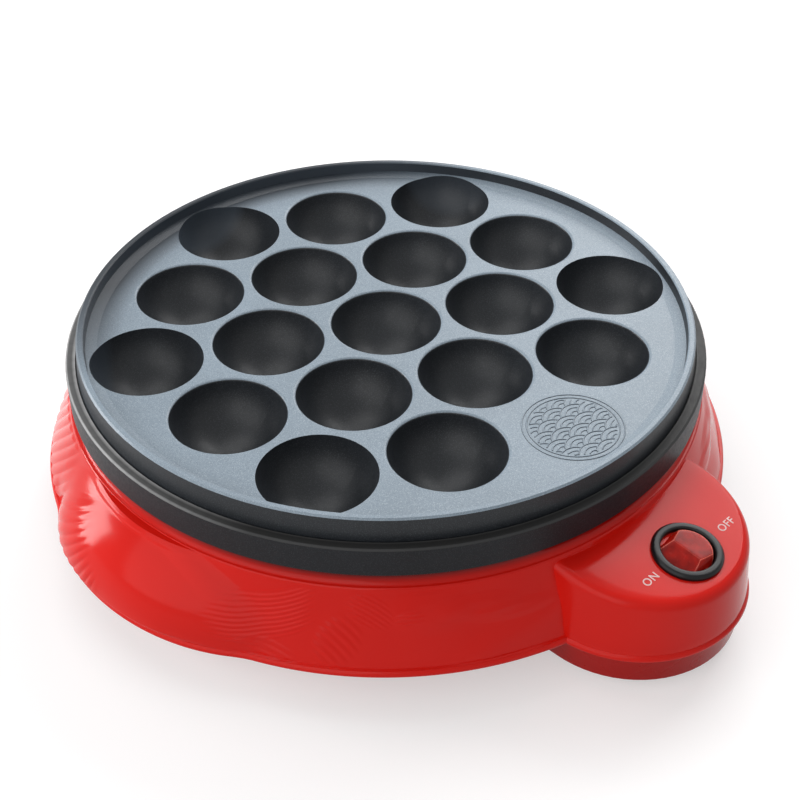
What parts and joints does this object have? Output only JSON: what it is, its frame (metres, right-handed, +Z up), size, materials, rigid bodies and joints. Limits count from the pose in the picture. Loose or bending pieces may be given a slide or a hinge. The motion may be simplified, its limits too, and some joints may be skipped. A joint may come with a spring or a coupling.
{
  "type": "takoyaki maker",
  "caption": "Round electric takoyaki maker: cast plate of hemispherical cups on a flared red base with shell-shaped side handles and a rocker switch on a front box",
  "frame": {"origin": "Centre of the bounding box in X and Y, on the plane of the rubber feet. The cooking plate's axis is 13.3 mm behind it, at y = +0.0133 m.", "axes": "+Z up along the plate's axis, -Y to the control box in front, +Y to the cord entry at the back, +X to the right-hand handle seen from the control box."},
  "size_m": [0.257, 0.2746, 0.0676],
  "materials": {
    "coated_plate": "speckled non-stick coating, satin",
    "black_enamel": "near-black enamel, satin",
    "red_plastic": "glossy moulded red",
    "dark_red_plastic": "moulded deep red, satin gloss",
    "black_rubber": "matte",
    "steel": "zinc-plated",
    "bright_sheet": "bright rolled sheet",
    "element_sheath": "dull, heat-darkened",
    "ceramic": "unglazed",
    "thermostat_metal": "stamped",
    "brass": "plain",
    "black_plastic": "glossy",
    "switch_red": "translucent red",
    "lamp_glass": "clear",
    "white_plastic": "matte",
    "sleeve_brown": "silicone sleeve",
    "sleeve_white": "silicone sleeve",
    "sleeve_blue": "silicone sleeve",
    "sleeve_green": "silicone sleeve"
  },
  "bodies": {
    "base": {"cooking_plate": "coated_plate", "skirt_ring": "black_enamel", "upper_casing": "red_plastic", "bottom_cover": "dark_red_plastic", "rubber_feet": "black_rubber", "plate_screws": "steel", "cover_screws": "steel", "clamp_screws": "steel", "reflector_pan": "bright_sheet", "heating_element": "element_sheath", "element_bushes": "ceramic", "element_terminals": "steel", "element_clamps": "steel", "thermostat": "thermostat_metal", "earth_tag": "brass", "earth_screw": "brass", "switch_housing": "black_plastic", "switch_terminals": "brass", "cord_grommet": "black_rubber", "terminal_block": "white_plastic", "block_sleeves": "brass", "block_screws": "steel", "lead_live": "sleeve_brown", "lead_switched": "sleeve_white", "lead_heater": "sleeve_white", "lead_neutral": "sleeve_blue", "lead_earth": "sleeve_green", "thermal_fuse": "steel"},
    "rocker": {"rocker": "switch_red", "neon_lamp": "lamp_glass", "contact_plunger": "black_plastic", "contact_spring": "steel"},
    "bridge": {"contact_bridge": "brass"}
  },
  "joints": [
    {"name": "rocker_tilt", "type": "hinge", "parent": "base", "child": "rocker", "pos_m": [0, -0.11809, 0.03774], "axis": [0, 0.9905, 0.1374], "range_deg": [0, 22]},
    {"name": "bridge_tilt", "type": "hinge", "parent": "base", "child": "bridge", "pos_m": [0, -0.11664, 0.02724], "axis": [0, 0.9905, 0.1374], "range_deg": [-11, 0]}
  ],
  "couplings": [
    {"joint": "bridge_tilt", "follows": "rocker_tilt", "ratio": -0.5}
  ]
}
